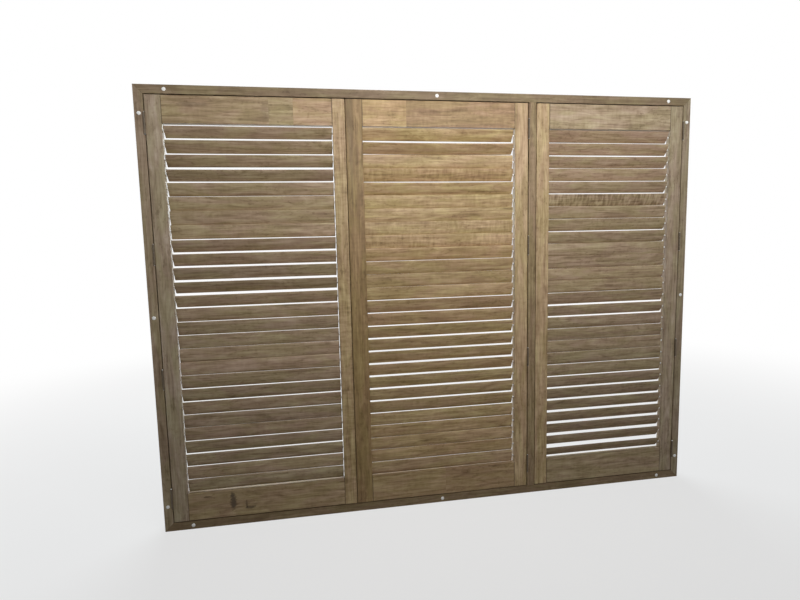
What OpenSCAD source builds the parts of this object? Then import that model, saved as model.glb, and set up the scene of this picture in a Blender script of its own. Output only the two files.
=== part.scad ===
// Louvred window shutters: a mitred frame screwed to the wall around a window,
// with three panels of tilting slats. The left and middle panels meet in a
// lapped joint, and the right panel closes against a post.
// X runs to the right, Z up, and Y into the wall. The origin is the middle of
// the frame's back, on the wall's face.

/* [Frame] */
// Width over the outside of the frame
frame_w = 2210; // [2000:10:2500]
// Width of the frame's face
frame_face = 32; // [26:1:44]
// Depth of the frame, from its front to the wall
frame_d = 70; // [64:1:90]
// How far the frame's light stop stands in behind the panels
stop_in = 14; // [13:1:18]
// Width of the post's face
post_w = 31; // [26:1:45]
// Depth of the post's light stop behind the panels
post_stop_d = 20; // [10:1:22]
// Width of the bay that the right panel fills
right_bay_w = 663; // [560:1:760]

/* [Panels] */
// Width of the left panel's face, from its hinge side to the joint
left_face_w = 710; // [600:1:800]
// Thickness of the stiles and rails
panel_t = 28; // [26:1:32]
// Width of a stile
stile_w = 55; // [48:1:66]
// Height of the top rails
top_rail_h = 99; // [80:1:130]
// Height of the bottom rails
bottom_rail_h = 108; // [80:1:140]
// Gap round each panel
panel_gap = 3; // [2.8:0.1:4]
// How far the panels stand behind the frame's front
set_back = 1.5; // [1:0.1:2.5]
// Width of the lap between the left and middle panels
lap_in = 8; // [6:1:12]
// Gap between the panels and the light stops behind them
stop_gap = 1.5; // [1.4:0.1:2.5]
// Radius of the eased long edges
ease_r = 1.5; // [0.5:0.1:2.5]

/* [Slats] */
// Distance between the slats' axes
slat_pitch = 51.5; // [49:0.1:54]
// How much wider a slat is than the pitch
slat_lap = 1.5; // [0.5:0.5:3]
// Thickness of a slat at its middle
slat_t = 9; // [8:0.5:9.5]
// Gap between a slat's end and the stile
end_gap = 3; // [1.5:0.1:3.5]
// Gap between the end slats and the rails
rail_clear = 1; // [0.8:0.1:3]
// Diameter of the slats' nylon pins
slat_pin_dia = 5; // [4:0.5:5.5]

/* [Hinges] */
// Height of a hinge
hinge_h = 76; // [60:1:90]
// Distance of the outer hinges' middles from the panel's ends
hinge_in = 100; // [80:1:150]
// Diameter of a hinge's barrel
barrel_dia = 7; // [6:0.5:8]
// Diameter of a hinge's pin
hinge_pin_dia = 3.2; // [2.6:0.2:3.6]
// Thickness of a hinge's leaf
leaf_t = 1.2; // [0.9:0.1:1.3]
// Depth of a hinge, from its pin to the back of its leaves
leaf_d = 27; // [22:1:30]

/* [Wall screws] */
// Diameter of the screws' threads
screw_dia = 5; // [4:0.5:6]
// Length of the thread that stands out behind the frame
screw_out = 40; // [25:1:60]
// Distance of the outer screws in the top and bottom from the frame's ends
screw_in_x = 105; // [80:5:300]
// Distance of the outer screws in the sides from the frame's ends
screw_in_z = 100; // [80:5:250]
// Diameter of the white caps
cap_dia = 14; // [12:0.5:18]
// Height of the caps
cap_h = 2.6; // [2:0.1:4]

/* [Hidden] */
$fn = 32;

// How far each slat is turned up from level, in degrees, from the top slat down.
// The front edge is the upper one. The slats have slipped out of step.
slat_count = 27;
left_tilts = [45, 56, 50, 48, 64, 73, 75, 79, 58, 58, 62, 55, 60, 77,
    76, 80, 85, 85, 80, 74, 78, 85, 85, 76, 77, 85, 80];
middle_tilts = [57, 48, 84, 67, 63, 82, 82, 82, 81, 74, 75, 84, 77, 70,
    75, 67, 67, 68, 66, 70, 70, 74, 83, 85, 85, 85, 85];
right_tilts = [58, 56, 55, 68, 58, 66, 75, 69, 68, 84, 80, 78, 84, 70,
    62, 77, 82, 83, 84, 78, 71, 70, 68, 66, 67, 63, 55];

// Fits: a turning pin, a piece that sits in its hole, how much deeper a blind
// hole is than what sits in it, and the overrun of a cut
run_fit = 0.05;
hole_fit = 0.05;
seat_spare = 1;
cut = 1;

// Colours
wood = "#8c7659";
slat_wood = "#85705a";
bronze = "#6b5f50";
steel = "#a9a9a6";
white = "#efeeea";

// Slats
slat_w = slat_pitch + slat_lap;
slat_run = slat_w / 2 + rail_clear;
slat_facets = 28;
slat_pin_r = slat_pin_dia / 2;
slat_pin_seat = 11;
shoulder_r = 1.5 * slat_pin_r;
shoulder_gap = 0.3;

// Heights
louvre_h = (slat_count - 1) * slat_pitch + 2 * slat_run;
panel_h = top_rail_h + louvre_h + bottom_rail_h;
frame_h = panel_h + 2 * panel_gap + 2 * frame_face;
slat_top_z = panel_h / 2 - top_rail_h - slat_run;

// Depths
front_y = set_back - frame_d;
slat_y = front_y + panel_t / 2;
stop_y = front_y + panel_t + stop_gap;

// Places along X, from the left
left_in = frame_face - frame_w / 2;
right_in = frame_w / 2 - frame_face;
post_right = right_in - right_bay_w;
post_left = post_right - post_w;
joint_x = left_in + panel_gap + left_face_w;
spans = [
    [left_in + panel_gap + stile_w, joint_x - stile_w + lap_in],
    [joint_x + panel_gap + lap_in + stile_w, post_left - panel_gap - stile_w],
    [post_right + panel_gap + stile_w, right_in - panel_gap - stile_w]
];

// Lapped joint and tenons
lap_clear = 1;
lap_step = panel_t / 2;
tenon_t = panel_t / 3;
tenon_l = 30;
tenon_in = 14;
ease_steps = 3;

// Hinges: the pins' places and the side on which each panel lies
hinge_count = 4;
hinge_x = [left_in + panel_gap / 2, post_left - panel_gap / 2, right_in - panel_gap / 2];
hinge_side = [1, -1, -1];
barrel_r = barrel_dia / 2;
barrel_clear = 0.3;
hinge_pin_r = hinge_pin_dia / 2;
barrel_stand = 0.2;
hinge_y = -frame_d - barrel_r - barrel_stand;
knuckles = 5;
knuckle_h = hinge_h / knuckles;
knuckle_clear = 0.3;
tongue_y = (barrel_r + hinge_pin_r) / 2;
leaf_y = barrel_r + barrel_clear;
tip_r = (barrel_r + hinge_pin_r) / 2;
tip_h = 1.6;
leaf_screw_r = 1.5;
leaf_screw_head_r = 2.9;
leaf_screw_l = 13;
leaf_screw_end = 11;
leaf_screw_step = hinge_h / 2 - leaf_screw_end;

// Catches: a round magnet in the frame's stop and a steel strike on the stile
magnet_r = 4;
magnet_h = 4;
strike_r = 4.5;
strike_h = 0.9;
strike_stem_r = 1.5;
strike_stem_l = 8;
catch_z = panel_h / 2 + panel_gap - stop_in / 2;
catch_x = [joint_x + panel_gap + lap_in + stile_w / 2, post_right + panel_gap + stile_w / 2];

// Wall screws: their places, and the plain shank that runs through the frame
screw_x = frame_w / 2 - screw_in_x;
screw_z = frame_h / 2 - screw_in_z;
screw_r = screw_dia / 2;
shank_r = 0.8 * screw_r;
screw_head_r = 1.8 * screw_r;
screw_head_h = 3;
well_r = screw_head_r + 0.2 * screw_r;
well_d = 6;
cap_r = cap_dia / 2;
cap_stem_h = 2;
cap_steps = 5;

// Points of a rounded corner with its middle at x, y, from the angle start on
function corner(x, y, start) =
    [for (i = [0:ease_steps]) let (a = start + 90 * i / ease_steps)
        [x + ease_r * cos(a), y + ease_r * sin(a)]];

// A rectangle w by d with eased corners
function eased(w, d) = concat(
    corner(ease_r, ease_r, 180), corner(w - ease_r, ease_r, 270),
    corner(w - ease_r, d - ease_r, 0), corner(ease_r, d - ease_r, 90));

// A stile that is front_w wide as far back as step, and back_w wide behind it
function lapped(front_w, back_w, step) = concat(
    corner(ease_r, ease_r, 180), corner(front_w - ease_r, ease_r, 270),
    [[front_w, step], [back_w, step]],
    corner(back_w - ease_r, panel_t - ease_r, 0), corner(ease_r, panel_t - ease_r, 90));

// The section of a frame member: X from its outer side inwards, Y from its front
function member_section() = concat(
    corner(ease_r, ease_r, 180), corner(frame_face - ease_r, ease_r, 270),
    [[frame_face, frame_d + stop_y], [frame_face + stop_in, frame_d + stop_y],
     [frame_face + stop_in, frame_d], [0, frame_d]]);

// The section of a slat: an ellipse as wide and as thick as the slat
function slat_section() =
    [for (i = [0:slat_facets - 1]) let (a = 360 * i / slat_facets)
        [slat_w / 2 * cos(a), slat_t / 2 * sin(a)]];

function slat_z(i) = slat_top_z - i * slat_pitch;
function hinge_z(k) = (panel_h - 2 * hinge_in) * (k / (hinge_count - 1) - 0.5);
function slat_name(i) = str("right_slat_", i < 9 ? "0" : "", i + 1);

// Turns what is drawn towards +X so that it points to the given side
module toward(side) {
    if (side > 0) children();
    else mirror([1, 0, 0]) children();
}

// Puts what is drawn along +Z on the frame's front, pointing out of it
module on_front(x, z) {
    translate([x, -frame_d, z]) rotate([90, 0, 0]) children();
}

module screw_places() {
    for (s = [-1, 0, 1]) {
        for (z = [-1, 1]) on_front(s * screw_x, z * (frame_h - frame_face) / 2) children();
        for (x = [-1, 1]) on_front(x * (frame_w - frame_face) / 2, s * screw_z) children();
    }
}

module hinge_places(p) {
    for (k = [0:hinge_count - 1]) translate([hinge_x[p], hinge_y, hinge_z(k)]) children();
}

// The screws of one leaf that lies towards +X from the pin
module leaf_screw_places() {
    for (s = [-1, 0, 1])
        translate([panel_gap / 2 - leaf_t, (leaf_y + leaf_d) / 2, s * leaf_screw_step])
            rotate([0, 90, 0]) children();
}

module catch_places(which) {
    for (s = [-1, 1]) translate([catch_x[which], stop_y, s * catch_z])
        rotate([90, 0, 0]) children();
}

// A countersunk screw with its head at the origin and its shank along +Z
module leaf_screw(fit = 0) {
    cylinder(h = leaf_t, r1 = leaf_screw_head_r + fit, r2 = leaf_screw_r + fit);
    cylinder(h = leaf_t + leaf_screw_l, r = leaf_screw_r + fit);
}

module panel_screw_holes(p) {
    hinge_places(p) toward(hinge_side[p]) leaf_screw_places() leaf_screw(hole_fit);
}

module frame_screw_holes(p) {
    hinge_places(p) toward(-hinge_side[p]) leaf_screw_places() leaf_screw(hole_fit);
}

// The well for a wall screw's head and the hole for its shank
module wall_screw_hole() {
    translate([0, 0, -well_d]) cylinder(h = well_d + cut, r = well_r);
    translate([0, 0, -frame_d - cut]) cylinder(h = frame_d, r = screw_r + hole_fit);
}

// A frame member whose outer side is half_span from the middle, mitred at both
// ends, turned about Y from the left-hand one
module frame_member(half_span, length, turn) {
    inward = frame_face + stop_in + cut;
    end = length / 2;
    color(wood) difference() {
        rotate([0, turn, 0]) intersection() {
            translate([-half_span, -frame_d, 0])
                linear_extrude(length, center = true) polygon(member_section());
            translate([-half_span, cut, 0]) rotate([90, 0, 0]) linear_extrude(frame_d + 2 * cut)
                polygon([[0, -end], [inward, inward - end], [inward, end - inward], [0, end]]);
        }
        screw_places() wall_screw_hole();
        catch_places(0) magnet_hole();
        catch_places(1) magnet_hole();
        if (turn == 0) frame_screw_holes(0);
        if (turn == 180) frame_screw_holes(2);
    }
}

module magnet_hole() {
    translate([0, 0, -magnet_h]) cylinder(h = magnet_h + cut, r = magnet_r + hole_fit);
}

module t_post() {
    stem_h = frame_h - 2 * frame_face;
    stop_w = post_w + 2 * stop_in;
    color(wood) difference() {
        union() {
            translate([post_left, -frame_d, -stem_h / 2]) linear_extrude(stem_h)
                polygon(concat(corner(ease_r, ease_r, 180), corner(post_w - ease_r, ease_r, 270),
                    [[post_w, frame_d + stop_y], [0, frame_d + stop_y]]));
            translate([post_left - stop_in, stop_y, stop_in - stem_h / 2])
                cube([stop_w, post_stop_d, stem_h - 2 * stop_in]);
        }
        frame_screw_holes(1);
    }
}

// The mortises and pin holes in the inner side of a stile. Origin: the inner
// side at the panel's front, with the stile lying towards +X.
module stile_cuts() {
    for (i = [0:slat_count - 1]) translate([-cut, panel_t / 2, slat_z(i)]) rotate([0, 90, 0])
        cylinder(h = slat_pin_seat + seat_spare + cut, r = slat_pin_r + run_fit);
    for (z = [tenon_in - panel_h / 2, panel_h / 2 - top_rail_h + tenon_in]) {
        h = z < 0 ? bottom_rail_h : top_rail_h;
        translate([-cut, (panel_t - tenon_t) / 2, z])
            cube([tenon_l + seat_spare + cut, tenon_t, h - 2 * tenon_in]);
    }
}

// A stile lying towards the given side of the inner side at x
module stile(x, side, outline) {
    translate([x, front_y, 0]) toward(side) difference() {
        linear_extrude(panel_h, center = true) polygon(outline);
        stile_cuts();
    }
}

module hinge_stile(p) {
    side = -hinge_side[p];
    color(wood) difference() {
        stile(side < 0 ? spans[p][0] : spans[p][1], side, eased(stile_w, panel_t));
        panel_screw_holes(p);
    }
}

module left_meeting_stile() {
    color(wood) stile(spans[0][1], 1, lapped(stile_w - lap_in, stile_w, lap_step));
}

module strike_holes(which) {
    catch_places(which) translate([0, 0, stop_gap - cut])
        cylinder(h = strike_stem_l + seat_spare + cut, r = strike_stem_r + hole_fit);
}

module middle_meeting_stile() {
    color(wood) difference() {
        stile(spans[1][0], -1, lapped(stile_w + lap_in, stile_w, lap_step - lap_clear));
        strike_holes(0);
    }
}

module right_free_stile() {
    color(wood) difference() {
        stile(spans[2][0], -1, eased(stile_w, panel_t));
        strike_holes(1);
    }
}

// A rail between the stiles, with a tenon at each end
module rail(p, z, h) {
    long = spans[p][1] - spans[p][0];
    color(wood) translate([spans[p][0], front_y, z]) {
        rotate([90, 0, 90]) linear_extrude(long) polygon(eased(panel_t, h));
        translate([-tenon_l, (panel_t - tenon_t) / 2, tenon_in])
            cube([long + 2 * tenon_l, tenon_t, h - 2 * tenon_in]);
    }
}

module top_rail(p) { rail(p, panel_h / 2 - top_rail_h, top_rail_h); }

module bottom_rail(p) { rail(p, -panel_h / 2, bottom_rail_h); }

// The end of a nylon pin that stands out of a slat towards +X, with its shoulder
module slat_pin() {
    rotate([0, 90, 0]) {
        translate([0, 0, -cut]) cylinder(h = cut + end_gap + slat_pin_seat, r = slat_pin_r);
        translate([0, 0, -cut]) cylinder(h = cut + end_gap - shoulder_gap, r = shoulder_r);
    }
}

// A slat of panel p with the pins fixed in its ends, turned up by tilt
module slat(p, i, tilt) {
    long = spans[p][1] - spans[p][0] - 2 * end_gap;
    middle = (spans[p][0] + spans[p][1]) / 2;
    color(slat_wood) translate([middle, slat_y, slat_z(i)]) rotate([-tilt, 0, 0]) {
        rotate([90, 0, 90]) linear_extrude(long, center = true) polygon(slat_section());
        for (side = [-1, 1]) toward(side) translate([long / 2, 0, 0]) slat_pin();
    }
}

module left_slats() {
    for (i = [0:slat_count - 1]) slat(0, i, left_tilts[i]);
}

module middle_slats() {
    for (i = [0:slat_count - 1]) slat(1, i, middle_tilts[i]);
}

// A leaf towards +X from the pin at the origin, with every second knuckle
module hinge_leaf(first) {
    ring_h = knuckle_h - knuckle_clear;
    difference() {
        union() {
            translate([panel_gap / 2 - leaf_t, leaf_y, -hinge_h / 2])
                cube([leaf_t, leaf_d - leaf_y, hinge_h]);
            for (k = [first:2:knuckles - 1])
                translate([0, 0, (k + 0.5) * knuckle_h - hinge_h / 2]) {
                    cylinder(h = ring_h, r = barrel_r, center = true);
                    translate([panel_gap / 2 - leaf_t, tongue_y, -ring_h / 2])
                        cube([leaf_t, leaf_y - tongue_y, ring_h]);
                }
        }
        cylinder(h = hinge_h + 2 * cut, r = hinge_pin_r + run_fit, center = true);
        leaf_screw_places() leaf_screw(hole_fit);
    }
}

module frame_hinge_leaves() {
    color(bronze) for (p = [0:2]) hinge_places(p) toward(-hinge_side[p]) hinge_leaf(0);
}

module panel_hinge_leaves(p) {
    color(bronze) hinge_places(p) toward(hinge_side[p]) hinge_leaf(1);
}

// The pins, with a small round tip on each end
module hinge_pins() {
    color(steel) for (p = [0:2]) hinge_places(p) {
        cylinder(h = hinge_h, r = hinge_pin_r, center = true);
        for (side = [0, 180]) rotate([side, 0, 0]) translate([0, 0, hinge_h / 2])
            cylinder(h = tip_h, r1 = tip_r, r2 = hinge_pin_r);
    }
}

module frame_hinge_screws() {
    color(steel) for (p = [0:2])
        hinge_places(p) toward(-hinge_side[p]) leaf_screw_places() leaf_screw();
}

module panel_hinge_screws(p) {
    color(steel) hinge_places(p) toward(hinge_side[p]) leaf_screw_places() leaf_screw();
}

module catch_magnets() {
    color(steel) for (which = [0, 1]) catch_places(which)
        translate([0, 0, -magnet_h]) cylinder(h = magnet_h, r = magnet_r);
}

// A steel disc on the stile's back, held by a stem in the wood
module catch_strikes(which) {
    color(steel) catch_places(which) {
        translate([0, 0, stop_gap - strike_h]) cylinder(h = strike_h, r = strike_r);
        translate([0, 0, stop_gap - strike_h]) cylinder(h = strike_h + strike_stem_l, r = strike_stem_r);
    }
}

module wall_screws() {
    color(steel) screw_places() translate([0, 0, -well_d]) {
        cylinder(h = screw_head_h, r = screw_head_r);
        translate([0, 0, well_d - frame_d]) cylinder(h = frame_d - well_d, r = shank_r);
        translate([0, 0, well_d - frame_d - screw_out]) cylinder(h = screw_out, r = screw_r);
    }
}

// A domed cap with a stem that plugs the well over the screw's head
module screw_caps() {
    dome = [for (i = [0:cap_steps]) let (a = 90 * i / cap_steps) [cap_r * cos(a), cap_h * sin(a)]];
    color(white) screw_places() {
        rotate_extrude() polygon(concat([[0, 0]], dome));
        translate([0, 0, -cap_stem_h]) cylinder(h = cap_stem_h, r = well_r - hole_fit);
    }
}

frame_member(frame_w / 2, frame_h, 0);  // frame_left
frame_member(frame_w / 2, frame_h, 180);  // frame_right
frame_member(frame_h / 2, frame_w, 90);  // frame_top
frame_member(frame_h / 2, frame_w, 270);  // frame_bottom
t_post();
hinge_stile(0);  // left_hinge_stile
left_meeting_stile();
top_rail(0);  // left_top_rail
bottom_rail(0);  // left_bottom_rail
middle_meeting_stile();
hinge_stile(1);  // middle_hinge_stile
top_rail(1);  // middle_top_rail
bottom_rail(1);  // middle_bottom_rail
right_free_stile();
hinge_stile(2);  // right_hinge_stile
top_rail(2);  // right_top_rail
bottom_rail(2);  // right_bottom_rail
left_slats();
middle_slats();
for (i = [0:slat_count - 1])
    slat(2, i, right_tilts[i]);
frame_hinge_leaves();
panel_hinge_leaves(0);  // left_hinge_leaves
panel_hinge_leaves(1);  // middle_hinge_leaves
panel_hinge_leaves(2);  // right_hinge_leaves
hinge_pins();
frame_hinge_screws();
panel_hinge_screws(0);  // left_hinge_screws
panel_hinge_screws(1);  // middle_hinge_screws
panel_hinge_screws(2);  // right_hinge_screws
catch_magnets();
catch_strikes(0);  // middle_catch_strikes
catch_strikes(1);  // right_catch_strikes
wall_screws();
screw_caps();
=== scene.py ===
# Louvred shutters: a frame that is screwed to the wall round a window, a post,
# and three panels of tilting slats. Stained wood, bronze hinges, white caps.
import math
import bpy
import numpy as np
from mathutils import Matrix, Vector


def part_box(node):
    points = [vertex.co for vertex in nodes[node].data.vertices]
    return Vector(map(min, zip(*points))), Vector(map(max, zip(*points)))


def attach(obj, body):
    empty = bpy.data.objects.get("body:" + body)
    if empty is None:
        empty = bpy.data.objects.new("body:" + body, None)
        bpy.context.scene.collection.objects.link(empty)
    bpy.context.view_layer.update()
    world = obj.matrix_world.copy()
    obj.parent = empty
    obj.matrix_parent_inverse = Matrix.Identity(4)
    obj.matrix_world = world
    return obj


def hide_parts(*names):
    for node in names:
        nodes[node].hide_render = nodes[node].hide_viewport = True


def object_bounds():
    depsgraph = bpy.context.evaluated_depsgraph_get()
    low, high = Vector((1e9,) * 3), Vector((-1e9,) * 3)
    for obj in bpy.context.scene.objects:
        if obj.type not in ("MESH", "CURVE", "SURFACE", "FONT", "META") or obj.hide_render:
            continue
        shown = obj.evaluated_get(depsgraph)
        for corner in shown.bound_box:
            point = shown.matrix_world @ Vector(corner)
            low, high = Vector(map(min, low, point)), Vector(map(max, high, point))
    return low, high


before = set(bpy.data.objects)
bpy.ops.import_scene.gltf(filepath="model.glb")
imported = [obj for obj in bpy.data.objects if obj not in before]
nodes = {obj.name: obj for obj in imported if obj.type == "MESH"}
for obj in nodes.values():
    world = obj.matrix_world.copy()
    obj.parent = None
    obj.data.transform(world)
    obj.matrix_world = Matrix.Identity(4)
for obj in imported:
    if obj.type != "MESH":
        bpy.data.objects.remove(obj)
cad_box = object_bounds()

# Frame and post
# Planed bars of stained wood with eased edges, mitred and glued at the corners.
# The post is tenoned in between. Each has a stop behind the panels.


# The places of the Mix node's factor, its two colours and its colour output
MIX_FACTOR, MIX_FIRST, MIX_SECOND, MIX_RESULT = 0, 6, 7, 2


class Socket:
    """An output of a shader node. Sums, products and differences of outputs add Math nodes to the
    same tree."""

    def __init__(self, tree, out=None):
        self.tree, self.out = tree, out

    def node(self, kind, settings=None, sockets=None, output=0):
        """Adds a node of that kind, with its settings made before its sockets are filled or
        linked, and gives one of its outputs."""
        made = self.tree.nodes.new("ShaderNode" + kind)
        for key, value in (settings or {}).items():
            if key == "stops":
                ramp = made.color_ramp.elements
                while len(ramp) < len(value):
                    ramp.new(0.5)
                for stop, (place, colour) in zip(ramp, value):
                    stop.position, stop.color = place, (*colour, 1)
            else:
                setattr(made, key, value)
        for key, value in (sockets or {}).items():
            if isinstance(value, Socket):
                self.tree.links.new(value.out, made.inputs[key])
            else:
                made.inputs[key].default_value = value
        return Socket(self.tree, made.outputs[output])

    def maths(self, operation, first, second=0.0):
        return self.node("Math", {"operation": operation}, {0: first, 1: second})

    def __add__(self, other):
        return self.maths("ADD", self, other)

    def __radd__(self, other):
        return self.maths("ADD", other, self)

    def __sub__(self, other):
        return self.maths("SUBTRACT", self, other)

    def __rsub__(self, other):
        return self.maths("SUBTRACT", other, self)

    def __mul__(self, other):
        return self.maths("MULTIPLY", self, other)

    def __rmul__(self, other):
        return self.maths("MULTIPLY", other, self)

    def __abs__(self):
        return self.maths("ABSOLUTE", self)

    def wave(self):
        """The sine of the value in turns, brought to 0 to 1."""
        return self.maths("SINE", self * math.tau) * 0.5 + 0.5

    def step(self, low, high):
        """A smooth step from 0 at low to 1 at high. It falls where low is above high."""
        if low > high:
            return 1 - self.step(high, low)
        return self.node("MapRange", {"interpolation_type": "SMOOTHSTEP"},
                         {"Value": self, "From Min": low, "From Max": high,
                          "To Min": 0.0, "To Max": 1.0})

    def axis(self, name):
        return self.node("SeparateXYZ", {}, {0: self}, name)

    def noise(self, scale, shift=(0, 0, 0), detail=2.0, rough=0.5, bend=0.0):
        """Noise over the place times a scale for each axis, 0 to 1 about 0.5. bend makes its
        lines wander."""
        place = self.node("Mapping", {}, {"Vector": self, "Location": shift, "Scale": scale})
        return self.node("TexNoise", {}, {"Vector": place, "Scale": 1.0, "Detail": detail,
                                          "Roughness": rough, "Distortion": bend})

    def mix(self, first, second):
        """The first colour where this mask is 0 and the second where it is 1."""
        return self.node("Mix", {"data_type": "RGBA"},
                         {MIX_FACTOR: self, MIX_FIRST: first, MIX_SECOND: second}, MIX_RESULT)

    def tint(self, colour):
        """This colour times another."""
        return self.node("Mix", {"data_type": "RGBA", "blend_type": "MULTIPLY"},
                         {MIX_FACTOR: 1.0, MIX_FIRST: self, MIX_SECOND: colour}, MIX_RESULT)

    def bump(self, strength, distance):
        """A normal that tilts with this height."""
        return self.node("Bump", {}, {"Strength": strength, "Distance": distance, "Height": self},
                         "Normal")

    def feed(self, shader, key):
        self.tree.links.new(self.out, shader.inputs[key])


def new_material(name, **constants):
    """A material whose shader has these constants, with the shader and a socket of its tree to
    start from."""
    made = bpy.data.materials.new(name)
    made.use_nodes = True
    shader = made.node_tree.nodes["Principled BSDF"]
    for key, value in constants.items():
        shader.inputs[key.replace("_", " ")].default_value = value
    return made, shader, Socket(made.node_tree)


# The wood from its darkest to its palest, the dark of its pores and knots, the two casts that
# the stain takes, the strength and depth of its relief, its gloss, and the ripple of plain wood
STAIN_STOPS = [(0.0, (0.170, 0.110, 0.056)), (0.5, (0.322, 0.230, 0.133)),
               (1.0, (0.480, 0.368, 0.234))]
PORE_DARK = (0.10, 0.065, 0.035, 1)
MARK_DARK = (0.055, 0.036, 0.02, 1)
ROSE, OLIVE = (1.02, 0.98, 1.02, 1), (0.985, 1.02, 0.91, 1)
WOOD_BUMP = 0.35, 0.0004
WOOD_GLOSS = 0.28
PLAIN_RIPPLE = 0.15


def stained(place, grain, shift, tone, ripple=PLAIN_RIPPLE, warm=0.0):
    """Colour, roughness and height of stained wood whose grain runs along one axis of the place.
    It adds fine fibres, wandering streaks, contour lines of a long noise for the growth rings,
    cloudy patches, short dark dashes, small flecks, dark pores and a ripple across the grain.
    The stain takes a little more olive in some patches and a little more rose in others."""
    def long_noise(across, along, detail=2.0, rough=0.5, extra=0.0, bend=0.0):
        scale = [across] * 3
        scale[grain] = along
        return place.noise(scale, [s + extra for s in shift], detail, rough, bend)

    fibres = long_noise(900, 14, 3.0, 0.6)
    streaks = long_noise(85, 2.6, 3.0, 0.6, 3.1, 0.5)
    rings = (long_noise(14, 0.7, 1.0, 0.4, 7.7) * 12 + fibres * 0.25).wave()
    clouds = long_noise(34, 8.5, 2.0, 0.55, 2.6, 1.2)
    patches = long_noise(9, 4, 1.0, 0.5, 1.9)
    strands = long_noise(170, 8.5, 2.0, 0.55, 6.2, 0.7)
    dashes = long_noise(210, 16, 2.0, 0.5, 12.2, 0.4).step(0.56, 0.68)
    dashes = dashes * patches.step(0.36, 0.56)
    flecks = long_noise(130, 62, 1.5, 0.5, 8.5).step(0.57, 0.69) * patches.step(0.60, 0.46)
    pores = long_noise(1500, 70, 1.0, 0.5, 5.3).step(0.67, 0.78)
    curl = (long_noise(26, 88, 1.5, 0.5, 4.4) - 0.5) * patches.step(0.28, 0.50) * ripple
    level = (streaks - 0.5) * 0.85 + (strands - 0.5) * 0.80 + (clouds - 0.5) * 1.15
    level = level + (fibres - 0.5) * 0.4 + (rings - 0.5) * 0.10 + curl * 1.8
    level = level + 0.55 - dashes * 0.18 - flecks * 0.20
    stain = level.node("ValToRGB", {"stops": STAIN_STOPS}, {0: level})
    hue = long_noise(27, 6.5, 2.0, 0.5, 9.2, 0.6).step(0.34, 0.66)
    stain = stain.tint(hue.mix(ROSE, OLIVE))
    # warm below 0 gives the stain a painted cool cast of daylight from the sides
    stain = stain.tint((tone * (1 + 0.03 * warm), tone, tone * (1 - 0.07 * warm), 1))
    stain = (pores * 0.35).mix(stain, PORE_DARK)
    gloss = 0.50 + fibres * 0.10 + pores * 0.15 + (patches - 0.5) * 0.08
    height = fibres * 0.5 - pores * 0.8 + curl * 0.6 - dashes * 0.1
    return stain, gloss, height


# Half the width of a glue line, and how far the wood's figure jumps from block to block
JOINT_HALF = 0.0006
BLOCK_JUMP = (0.71, 0.33, 0.24)


def set_only_material(name, material):
    """Gives the CAD node of that name this material in place of its plain one."""
    slots = nodes[name].data.materials
    slots.clear()
    slots.append(material)


def board(name, grain, shift, tone, ripple=PLAIN_RIPPLE, warm=0.0, blocks=(), marks=None):
    """Stained wood on the CAD node of that name. blocks are (x, colour) of each joint between
    glued blocks and of the wood to its right, where the figure starts anew. marks gives a mask
    of dark places."""
    made, shader, paint = new_material("stained_" + name, Specular_IOR_Level=WOOD_GLOSS)
    spot = paint.node("TexCoord", {}, {}, "Object")
    place, cast = spot, (1, 1, 1, 1)
    for x, colour in blocks:
        beyond = (spot.axis("X") - x).step(-JOINT_HALF, JOINT_HALF)
        jump = beyond.node("VectorMath", {"operation": "SCALE"}, {0: BLOCK_JUMP, "Scale": beyond})
        place = place.node("VectorMath", {"operation": "ADD"}, {0: place, 1: jump})
        cast = beyond.mix(cast, (*colour, 1))
    stain, gloss, height = stained(place, grain, shift, tone, ripple, warm)
    if blocks:
        stain = stain.tint(cast)
    if marks:
        dark = marks(spot)
        stain = dark.mix(stain, MARK_DARK)
        height = height - dark * 0.3
    stain.feed(shader, "Base Color")
    gloss.feed(shader, "Roughness")
    height.bump(*WOOD_BUMP).feed(shader, "Normal")
    set_only_material(name, made)


ALONG_X, ALONG_Z = 0, 2
low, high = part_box("frame_left")
half_h = (high.z - low.z) / 2
half_w = -low.x
front = low.y


def mitre_line(place):
    """The thin dark glue line where two members meet: the same distance from both outer sides of
    the frame."""
    off = (half_w - abs(place.axis("X"))) - (half_h - abs(place.axis("Z")))
    return abs(off).step(0.0007, 0.0002) * 0.75


# warm below 0 on the left and right members is a painted cool cast of daylight from the sides
board("frame_left", ALONG_Z, (3, 1, 2), 0.82, warm=-1.2, marks=mitre_line)
board("frame_right", ALONG_Z, (11, 4, 7), 0.80, warm=-1.8, marks=mitre_line)
board("frame_top", ALONG_X, (5, 9, 1), 0.54, warm=0.4, marks=mitre_line)
board("frame_bottom", ALONG_X, (8, 2, 13), 0.52, warm=1.2, marks=mitre_line)
board("t_post", ALONG_Z, (17, 6, 3), 0.70, warm=0.6)

# Stiles
# The upright boards of the three panels, each from another plank, so their
# tones differ. Two of them lap over each other where the panels meet.


def heartwood(place):
    """A darker wedge that starts at the top of the board and narrows to a point further down: the
    width left over from a wandering middle line, where the width falls with the height."""
    middle_x, point_z, spread = -0.341, 0.40, 0.040
    off = abs(place.axis("X") - middle_x + (place.noise((4, 4, 4)) - 0.5) * 0.02)
    width = (place.axis("Z") - point_z) * spread
    return (width - off).step(-0.003, 0.005) * 0.34


# warm below 0 on the outer hinge stiles is a painted cool cast of daylight from the sides
board("left_hinge_stile", ALONG_Z, (21, 3, 8), 0.96, warm=-2.2)
board("left_meeting_stile", ALONG_Z, (4, 19, 6), 1.01, ripple=0.5, warm=1.0)
board("middle_meeting_stile", ALONG_Z, (14, 8, 22), 0.66, warm=3.2, marks=heartwood)
board("middle_hinge_stile", ALONG_Z, (2, 12, 31), 1.14, warm=0.5)
board("right_free_stile", ALONG_Z, (9, 27, 5), 1.12, ripple=0.2, warm=0.5)
board("right_hinge_stile", ALONG_Z, (26, 7, 12), 1.00, warm=-2.2)

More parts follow.
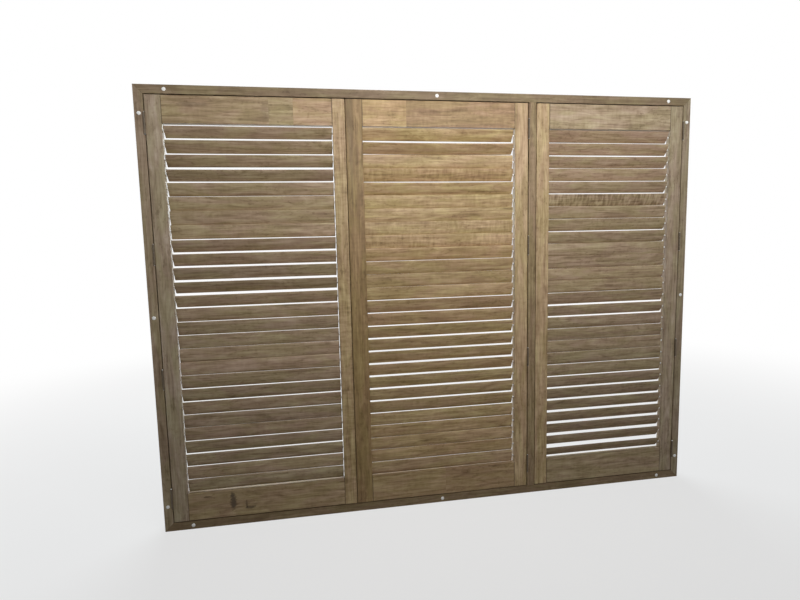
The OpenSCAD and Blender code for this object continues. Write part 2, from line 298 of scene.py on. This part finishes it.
# Rails
# The top and bottom boards of the panels, tenoned into the stiles. Some are glued up
# from blocks end to end, which take the stain differently, and one has a small knot.
TENON = 0.030
# Distances from the shoulder at which the painted shade line fades out and becomes full: the line
# stands for the shade in the small gap and groove where rail and stile meet
SHOULDER_SHADE_LINE = 0.0030, 0.0014

# Soft dark places as (x, z, half_x, half_z, depth). On the top board they are clouds, and on the
# bottom board an upright slit of bark, a short dash to its left and a ragged fleck to its right.
cloud_spots = [(-0.912, 0.771, 0.055, 0.007, 0.30), (-0.652, 0.752, 0.016, 0.034, 0.22)]
bark_spots = [(-0.846, -0.738, 0.0115, 0.034, 0.88), (-0.942, -0.711, 0.018, 0.004, 0.55),
              (-0.782, -0.770, 0.019, 0.006, 0.75), (-0.796, -0.755, 0.004, 0.014, 0.6)]


def smudge(place, x, z, half_x, half_z, depth):
    """A soft dark ellipse at x, z through the board: the place's distance from its middle, counted
    in its two half sizes and roughened by noise."""
    scaled = place.node("Mapping", {}, {"Vector": place, "Scale": (1 / half_x, 0, 1 / half_z),
                                        "Location": (-x / half_x, 0, -z / half_z)})
    far = scaled.node("VectorMath", {"operation": "LENGTH"}, {0: scaled}, "Value")
    return (far + (place.noise((70, 70, 160)) - 0.5) * 1.6).step(1.3, 0.6) * depth


def rail(name, shift, tone, spots=(), **more):
    """A board with a thin dark line at both shoulders, where it meets the stiles, which is painted
    shade of the small gap and groove there, and with its own dark spots."""
    low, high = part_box(name)
    middle, half = (low.x + high.x) / 2, (high.x - low.x) / 2 - TENON

    def shoulder_shade_and_spots(place):
        # painted shade of the gap and groove along both shoulders
        dark = abs(abs(place.axis("X") - middle) - half).step(*SHOULDER_SHADE_LINE) * 0.80
        for spot in spots:
            dark = dark + smudge(place, *spot)
        return dark

    board(name, ALONG_X, shift, tone, marks=shoulder_shade_and_spots, **more)


rail("left_top_rail", (6, 33, 4), 0.90, spots=cloud_spots,
     blocks=[(-0.640, (0.96, 0.99, 0.93)), (-0.551, (1.10, 1.03, 1.00))])
rail("left_bottom_rail", (12, 5, 29), 0.92, warm=0.5, spots=bark_spots)
rail("middle_top_rail", (24, 14, 9), 1.11, warm=2.0, ripple=0.25,
     blocks=[(-0.123, (0.74, 0.71, 0.76))])
rail("middle_bottom_rail", (7, 21, 16), 0.98, warm=1.2,
     blocks=[(0.016, (0.93, 0.90, 0.91))])
# warm below 0 on the right rails is a painted cool cast of daylight from the side
rail("right_top_rail", (31, 2, 11), 1.04, ripple=0.25, warm=-1.5)
rail("right_bottom_rail", (16, 24, 3), 0.95, warm=-0.6)

# Slats
# Blades of wood with an elliptical section, 27 in each panel, that turn on white
# nylon pins in the stiles. They have slipped a little out of step.

# SLAT_LAP is how much wider a slat is than the step to the next one, PIN_SEAT how deep a pin
# sits in the stile, and END_GAP the room between a slat's end and the stile.
SLAT_T = 0.009
SLAT_LAP = 0.0015
PIN_SEAT = 0.011
END_GAP = 0.003
PIN_R = 0.0025
SHOULDER_R = 0.0036
# How far each slat leans up from flat, in degrees, from the top one down
left_tilts = [45, 56, 50, 48, 64, 73, 75, 79, 58, 58, 62, 55, 60, 77,
              76, 80, 85, 85, 80, 74, 78, 85, 85, 76, 77, 85, 80]
middle_tilts = [57, 48, 84, 67, 63, 82, 82, 82, 81, 74, 75, 84, 77, 70,
                75, 67, 67, 68, 66, 70, 70, 74, 83, 85, 85, 85, 85]
right_tilts = [58, 56, 55, 68, 58, 66, 75, 69, 68, 84, 80, 78, 84, 70,
               62, 77, 82, 83, 84, 78, 71, 70, 68, 66, 67, 63, 55]
# How far the middle of a warped slat sags, by side and number
sags = {("left", 2): 0.0012, ("left", 4): 0.0010, ("left", 27): -0.0020,
        ("middle", 2): 0.0030, ("middle", 5): 0.0022,
        ("right", 3): 0.0016, ("right", 6): 0.0010, ("right", 9): 0.0012,
        ("right", 14): -0.0012, ("right", 16): 0.0010, ("right", 27): -0.0008}
# The strength of the curly figure on the slats that have one
curls = {("middle", 4): 0.45, ("middle", 6): 0.3, ("middle", 8): 0.45, ("middle", 9): 0.5,
         ("right", 6): 1.1}
# How far both ends of a side's slats have slid along the pins, and the stain on that side. The
# left and right stains are cooler than the middle's: that cool cast is painted cool daylight from
# the sides.
end_shifts = {"left": (0.0012, 0.0003), "middle": (-0.0027, -0.0042), "right": (-0.0027, -0.0042)}
side_stains_and_cool_light = {"left": (0.93, 0.95, 1.02), "middle": (1.10, 1.07, 0.97),
               "right": (0.93, 0.94, 1.01)}
right_names = [f"right_slat_{i + 1:02d}" for i in range(len(right_tilts))]
slat_places = [sum(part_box(n), Vector()) / 2 for n in right_names]
slat_w = slat_places[0].z - slat_places[1].z + SLAT_LAP
chance = np.random.default_rng(27)


def tube(stations, rings):
    """Quads between closed rings of points carried along stations, and a flat face over either
    end, as two arrays of point numbers."""
    i, j = np.meshgrid(np.arange(stations - 1), np.arange(rings), indexing="ij")
    k = (j + 1) % rings
    quads = np.stack([i * rings + j, i * rings + k, (i + 1) * rings + k, (i + 1) * rings + j], -1)
    first, last = np.arange(rings)[::-1], np.arange(rings) + (stations - 1) * rings
    return quads.reshape(-1, 4), np.stack([first, last])


def slat_blade(x0, x1, sag):
    """An ellipse carried along X. It shrinks over the last millimetre at both ends by a quarter
    circle. Its middle line bows a little out of its plane by half a sine wave, and sags in its
    plane by that wave's root."""
    eased, steps, bow_spread = 0.0012, 4, 0.00035
    turn = np.linspace(0, math.pi / 2, steps)
    ends = eased * (1 - np.cos(turn))
    between = np.linspace(x0 + 0.02, x1 - 0.02, 11)
    along = np.concatenate([x0 + ends, between, x1 - ends[::-1]])
    inset = np.zeros(len(along))
    inset[:steps] = eased * (1 - np.sin(turn))
    inset[-steps:] = inset[:steps][::-1]
    angle = np.linspace(0, math.tau, 40, endpoint=False)
    across = (slat_w / 2 - inset)[:, None] * np.cos(angle)
    thick = (SLAT_T / 2 - inset)[:, None] * np.sin(angle)
    arch = np.sin(math.pi * (along - x0) / (x1 - x0))[:, None]
    thick = thick + chance.normal(0, bow_spread) * arch
    across = across - sag * np.sqrt(np.abs(arch))
    x = np.broadcast_to(along[:, None], across.shape)
    return np.stack([x, across, thick], -1).reshape(-1, 3), tube(len(along), len(angle))


def nylon_pin(x, side):
    """A shouldered pin turned about X from inside the slat's end at x to the bottom of its hole:
    radius against length, in 16 steps round. side is -1 at the left end and 1 at the right."""
    profile = np.array([(-0.006, SHOULDER_R), (END_GAP - 0.0005, SHOULDER_R),
                        (END_GAP - 0.0003, SHOULDER_R - 0.0002), (END_GAP - 0.0003, PIN_R),
                        (END_GAP + PIN_SEAT - 0.0006, PIN_R), (END_GAP + PIN_SEAT, 0.0019)])
    angle = np.linspace(0, math.tau, 16, endpoint=False) * side
    ring = np.stack([np.cos(angle), np.sin(angle)], -1)
    points = np.empty((len(profile), len(angle), 3))
    points[:, :, 0] = x + side * profile[:, :1]
    points[:, :, 1:] = profile[:, 1, None, None] * ring
    return points.reshape(-1, 3), tube(len(profile), len(angle))


def put_mesh(name, parts, materials, vectors=None):
    """Joins lists of (points, (quads, ends), material number) into one smooth mesh with its object
    at the origin. vectors are named attributes with a vector for each point."""
    points, faces, kinds, count = [], [], [], 0
    for part_points, part_faces, kind in parts:
        points.append(part_points)
        for group in part_faces:
            faces += (group + count).tolist()
            kinds += [kind] * len(group)
        count += len(part_points)
    mesh = bpy.data.meshes.new(name)
    mesh.from_pydata(np.concatenate(points).tolist(), [], faces)
    mesh.polygons.foreach_set("material_index", kinds)
    for key, values in (vectors or {}).items():
        attribute = mesh.attributes.new(key, "FLOAT_VECTOR", "POINT")
        attribute.data.foreach_set("vector", np.concatenate(values).ravel())
    for material in materials:
        mesh.materials.append(material)
    mesh.shade_smooth()
    mesh.set_sharp_from_angle(angle=math.radians(38))
    made = bpy.data.objects.new(name, mesh)
    bpy.context.scene.collection.objects.link(made)
    return made


def slat_parts(side, x0, x1, y, z, tilt, sag):
    """One slat whose ends are shifted a little along its pins, turned up by tilt about its own
    axis, with the grain's place and the slat's own stain at each point. On the left and right
    that stain holds a painted cool cast of daylight from the sides."""
    tone_spread, hue_spread = 0.045, 0.012
    shift0, shift1 = end_shifts[side]
    parts = [(*slat_blade(x0 + shift0, x1 + shift1, sag), 0)]
    parts += [(*nylon_pin(x, way), 1) for x, way in ((x0, -1), (x1, 1))]
    grain = np.concatenate([points for points, _, _ in parts]) + chance.uniform(0, 40, 3)
    own_tone = 1 + chance.normal(0, tone_spread) + chance.normal(0, hue_spread, 3)
    # the side's stain, with its painted cool cast of daylight on the left and right
    own_stain = np.tile(np.array(side_stains_and_cool_light[side]) * own_tone, (len(grain), 1))
    lean = math.radians(tilt)
    turned = []
    for points, faces, kind in parts:
        depth = -points[:, 1] * math.cos(lean) - points[:, 2] * math.sin(lean)
        rise = points[:, 1] * math.sin(lean) - points[:, 2] * math.cos(lean)
        turned.append((np.stack([points[:, 0], y + depth, z + rise], -1), faces, kind))
    return turned, grain, own_stain


slat_stain, shader, paint = new_material("stained_slats", Specular_IOR_Level=WOOD_GLOSS)
grain_place = paint.node("Attribute", {"attribute_name": "grain"}, {}, "Vector")
own_stain = paint.node("Attribute", {"attribute_name": "own_stain"}, {}, "Color")
own_curl = paint.node("Attribute", {"attribute_name": "own_curl"}, {}, "Vector").axis("X")
stain, gloss, height = stained(grain_place, ALONG_X, (1, 2, 3), 1.0, own_curl)
stain.tint(own_stain).feed(shader, "Base Color")
gloss.feed(shader, "Roughness")
height.bump(*WOOD_BUMP).feed(shader, "Normal")

nylon, shader, paint = new_material("white_nylon", Specular_IOR_Level=0.4)
dust = paint.node("TexCoord", {}, {}, "Object").noise((300, 300, 300), detail=3.0)
dust.mix((0.78, 0.77, 0.74, 1), (0.86, 0.85, 0.83, 1)).feed(shader, "Base Color")
(0.35 + dust * 0.2).feed(shader, "Roughness")


def slat_piece(side, name, replaced, body, tilts):
    """A piece of one or more slats that stands for a CAD node. tilts holds each slat's number and
    lean."""
    low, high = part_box(replaced)
    x0, x1 = low.x + PIN_SEAT + END_GAP, high.x - PIN_SEAT - END_GAP
    parts, grains, stains, own_curls = [], [], [], []
    for number, tilt in tilts:
        place = slat_places[number - 1]
        sag = sags.get((side, number), 0)
        turned, grain, own_stain = slat_parts(side, x0, x1, place.y, place.z, tilt, sag)
        parts += turned
        grains.append(grain)
        stains.append(own_stain)
        own_curls.append(np.full(grain.shape, curls.get((side, number), PLAIN_RIPPLE)))
    made = put_mesh(name, parts, [slat_stain, nylon],
                    {"grain": grains, "own_stain": stains, "own_curl": own_curls})
    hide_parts(replaced)
    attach(made, body)


for side, tilts in (("left", left_tilts), ("middle", middle_tilts)):
    slat_piece(side, f"{side}_blades", f"{side}_slats", f"{side}_panel", enumerate(tilts, 1))
for number, name in enumerate(right_names, 1):
    slat_piece("right", name.replace("slat", "blade"), name, name.replace("slat", "slat_body"),
               [(number, right_tilts[number - 1])])

# Hinges
# Four butt hinges on each panel, pressed from sheet steel and painted bronze,
# on steel pins with small round tips. Three screws hold each leaf.


def metal(name, dark, light, rough, metallic, cad_nodes, **constants):
    """Painted or plain metal on CAD nodes: cloudy colour, fine scratches and specks where the
    finish is thin."""
    made, shader, paint = new_material(name, **constants)
    place = paint.node("TexCoord", {}, {}, "Object")
    cloud = place.noise((160, 160, 60), detail=4.0, rough=0.6)
    scratch = place.noise((2600, 2600, 90))
    worn = place.noise((420, 420, 420), detail=3.0).step(0.66, 0.76)
    colour = (cloud * 0.7 + scratch * 0.3).mix((*dark, 1), (*light, 1))
    bare = (*(min(1.0, 1.6 * c) for c in light), 1)
    (worn * 0.5).mix(colour, bare).feed(shader, "Base Color")
    (rough + (scratch - 0.5) * 0.2 + worn * 0.08).feed(shader, "Roughness")
    (metallic + worn * (1 - metallic) * 0.5).feed(shader, "Metallic")
    (cloud * 0.4 + scratch * 0.6 - worn * 0.3).bump(0.2, 0.0002).feed(shader, "Normal")
    for cad_node in cad_nodes:
        set_only_material(cad_node, made)
    return made


metal("bronze_paint", (0.085, 0.063, 0.041), (0.140, 0.107, 0.071), 0.50, 0.15,
      ["frame_hinge_leaves", "left_hinge_leaves", "middle_hinge_leaves", "right_hinge_leaves"],
      Specular_IOR_Level=0.3)
steel = metal("plain_steel", (0.42, 0.42, 0.41), (0.56, 0.56, 0.55), 0.32, 1.0,
              ["hinge_pins", "frame_hinge_screws", "left_hinge_screws", "middle_hinge_screws",
               "right_hinge_screws"])

# Catches
# A round magnet is pressed into the frame's stop above and below each free
# stile, and a thin steel strike is nailed to the back of the stile.
metal("nickel_plate", (0.52, 0.51, 0.48), (0.66, 0.65, 0.62), 0.22, 1.0,
      ["catch_magnets", "middle_catch_strikes", "right_catch_strikes"])

# Wall screws and caps
# Steel screws run through the frame into the wall, and a white plastic cap with a
# low dome plugs the well over each head.
SCREW_R = 0.0025
THREAD_STEP = 0.0022
HEAD_R = 0.0045
STEM_R = 0.0049
SCREW_IN_X = 0.105
SCREW_IN_Z = 0.100


def turned_about_y(profile, x, z, steps):
    """A profile of (y, radius) turned about a line along Y at x, z."""
    angle = np.linspace(0, math.tau, steps, endpoint=False)
    points = np.empty((len(profile), steps, 3))
    points[:, :, 0] = x + profile[:, 1:] * np.cos(angle)
    points[:, :, 1] = profile[:, :1]
    points[:, :, 2] = z - profile[:, 1:] * np.sin(angle)
    return points.reshape(-1, 3), tube(len(profile), steps)


def screw_thread(x, z, y0, y1, steps=12):
    """A thread about Y: the radius rises and falls once in each turn, as a sharp wave of the depth
    plus the angle's share of a turn, and it runs out to a point over the last part."""
    core, flank, point = 0.66, 3.2, 0.006
    along = np.arange(y0, y1, THREAD_STEP / 6)
    angle = np.linspace(0, math.tau, steps, endpoint=False)
    phase = (along[:, None] / THREAD_STEP + angle / math.tau) % 1
    crest = np.clip(1 - flank * np.abs(phase - 0.5), 0, 1)
    taper = np.clip((y1 - along) / point, 0.04, 1)[:, None]
    radius = (core + (1 - core) * crest) * SCREW_R * taper
    points = np.stack([x + radius * np.cos(angle), np.broadcast_to(along[:, None], radius.shape),
                       z - radius * np.sin(angle)], -1)
    return points.reshape(-1, 3), tube(len(along), steps)


low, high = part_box("wall_screws")
side_x, top_z = high.x - HEAD_R, high.z - HEAD_R
head_y, tip_y = low.y, high.y
low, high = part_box("screw_caps")
cap_y, cap_r = low.y, high.x - side_x
screw_x, screw_z = half_w - SCREW_IN_X, half_h - SCREW_IN_Z
screw_spots = [(s * screw_x, z) for s in (-1, 0, 1) for z in (-top_z, top_z)]
screw_spots += [(x, s * screw_z) for s in (-1, 0, 1) for x in (-side_x, side_x)]
shank = np.array([(head_y, 0.0012), (head_y, 0.0038), (head_y + 0.0006, HEAD_R),
                  (head_y + 0.0024, HEAD_R), (head_y + 0.003, 0.0042), (head_y + 0.003, 0.0020),
                  (0.0, 0.0020)])
screw_parts = []
for x, z in screw_spots:
    screw_parts.append((*turned_about_y(shank, x, z, 20), 0))
    screw_parts.append((*screw_thread(x, z, 0.0, tip_y), 0))
screws = put_mesh("threaded_wall_screws", screw_parts, [steel])
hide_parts("wall_screws")
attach(screws, "frame")

sweep = np.linspace(0, math.pi / 2, 9)[::-1]
dome = np.stack([front - (front - cap_y) * np.sin(sweep), cap_r * np.cos(sweep) ** 0.8], -1)
dome[0, 1] = 0.0004
stem = np.array([(front, STEM_R), (front + 0.002, STEM_R)])
cap = np.concatenate([dome, stem])
cap_parts = [(*turned_about_y(cap, x, z, 32), 0) for x, z in screw_spots]
white, shader, paint = new_material("white_cap_plastic", Coat_Weight=0.6)
dust = paint.node("TexCoord", {}, {}, "Object").noise((240, 240, 240), detail=3.0)
dust.mix((0.80, 0.79, 0.76, 1), (0.92, 0.91, 0.88, 1)).feed(shader, "Base Color")
(0.25 + dust * 0.25).feed(shader, "Roughness")
caps = put_mesh("domed_caps", cap_parts, [white])
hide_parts("screw_caps")
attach(caps, "frame")

# Floor and light
# A pale floor that fades to the white of the room, a soft light in front of the
# top, and daylight from behind that falls between the slats.
FLOOR_HALF = 30
ROOM_LIGHT = 0.07
floor_z = cad_box[0].z - 0.0005
corners = [(FLOOR_HALF * x, FLOOR_HALF * y, floor_z)
           for x, y in ((-1, -1), (1, -1), (1, 1), (-1, 1))]
mesh = bpy.data.meshes.new("floor")
mesh.from_pydata(corners, [], [(0, 1, 2, 3)])
floor = bpy.data.objects.new("floor", mesh)
bpy.context.scene.collection.objects.link(floor)


def seen_ray(start):
    """1 for what the camera, a gloss or clear glass looks at, and 0 for the light that falls on
    things."""
    camera_ray = start.node("LightPath", {}, {}, "Is Camera Ray")
    outputs = camera_ray.out.node.outputs
    glossy_ray, clear_ray = (Socket(start.tree, outputs[f"Is {kind} Ray"])
                             for kind in ("Glossy", "Transmission"))
    seen = camera_ray.maths("MAXIMUM", camera_ray, glossy_ray)
    return seen.maths("MAXIMUM", seen, clear_ray)


pale, shader, paint = new_material("pale_floor", Roughness=0.9)
place = paint.node("TexCoord", {}, {}, "Object")
place.noise((3, 3, 3)).mix((0.60, 0.60, 0.59, 1), (0.65, 0.65, 0.64, 1)).feed(shader, "Base Color")
away = place.node("VectorMath", {"operation": "LENGTH"}, {0: place}, "Value")
white_room = paint.node("Emission", {}, {"Color": (1, 1, 1, 1), "Strength": 1.0})
near_share = 0.66
blend = (near_share + away.step(1.2, 4.5) * (1 - near_share)) * seen_ray(paint)
plain_floor = Socket(paint.tree, shader.outputs["BSDF"])
shown = paint.node("MixShader", {}, {0: blend, 1: plain_floor, 2: white_room})
paint.tree.links.new(shown.out, paint.tree.nodes["Material Output"].inputs["Surface"])
mesh.materials.append(pale)

world = bpy.data.worlds.new("white_room")
bpy.context.scene.world = world
world.use_nodes = True
background = world.node_tree.nodes["Background"]
background.inputs["Color"].default_value = (1, 1, 1, 1)
seen = seen_ray(Socket(world.node_tree))
(ROOM_LIGHT + seen * (1 - ROOM_LIGHT)).feed(background, "Strength")


def soft_light(name, place, aim, size, power, colour):
    """A rectangular lamp of that size and power in watts, turned to the point it is aimed at."""
    lamp = bpy.data.lights.new(name, "AREA")
    lamp.shape, lamp.size, lamp.size_y = "RECTANGLE", *size
    lamp.energy, lamp.color = power, colour
    made = bpy.data.objects.new(name, lamp)
    made.location = place
    made.rotation_euler = (Vector(aim) - Vector(place)).to_track_quat("-Z", "Y").to_euler()
    made.visible_camera = False
    bpy.context.scene.collection.objects.link(made)


soft_light("key", (0.15, -1.65, 0.95), (0.15, 0, 1.5), (1.5, 0.6), 37, (1.0, 0.98, 0.95))
soft_light("right_fill", (2.1, -1.4, 1.6), (1.0, 0, 1.1), (1.0, 1.0), 9, (0.70, 0.86, 1.0))
soft_light("left_fill", (-2.3, -1.3, 1.5), (-1.0, 0, 1.3), (1.0, 1.0), 7, (0.70, 0.86, 1.0))
soft_light("daylight", (0, 2.4, 0.9), (0, 0, 0.3), (3.0, 1.6), 90, (0.90, 0.96, 1.0))

# Camera
# Stands a little left of the middle at eye height under the top and looks down
# and to the right, as in the photograph.
PHOTO_W = 800
FOCAL_PX = 540
SENSOR = 36
eye = Vector((-0.5366, -2.1777, 0.2725))
pitch, roll, yaw = (math.radians(a) for a in (-6.484, 1.269, -10.041))
turn = Matrix.Rotation(yaw, 3, "Z") @ Matrix.Rotation(pitch, 3, "X") @ Matrix.Rotation(roll, 3, "Y")
lens = bpy.data.cameras.new("camera")
lens.sensor_width, lens.lens = SENSOR, FOCAL_PX / PHOTO_W * SENSOR
camera = bpy.data.objects.new("camera", lens)
upright = Matrix.Rotation(math.pi / 2, 3, "X")
camera.matrix_world = Matrix.Translation(eye) @ (turn @ upright).to_4x4()
bpy.context.scene.collection.objects.link(camera)
bpy.context.scene.camera = camera
bpy.context.scene.view_settings.view_transform = "Standard"
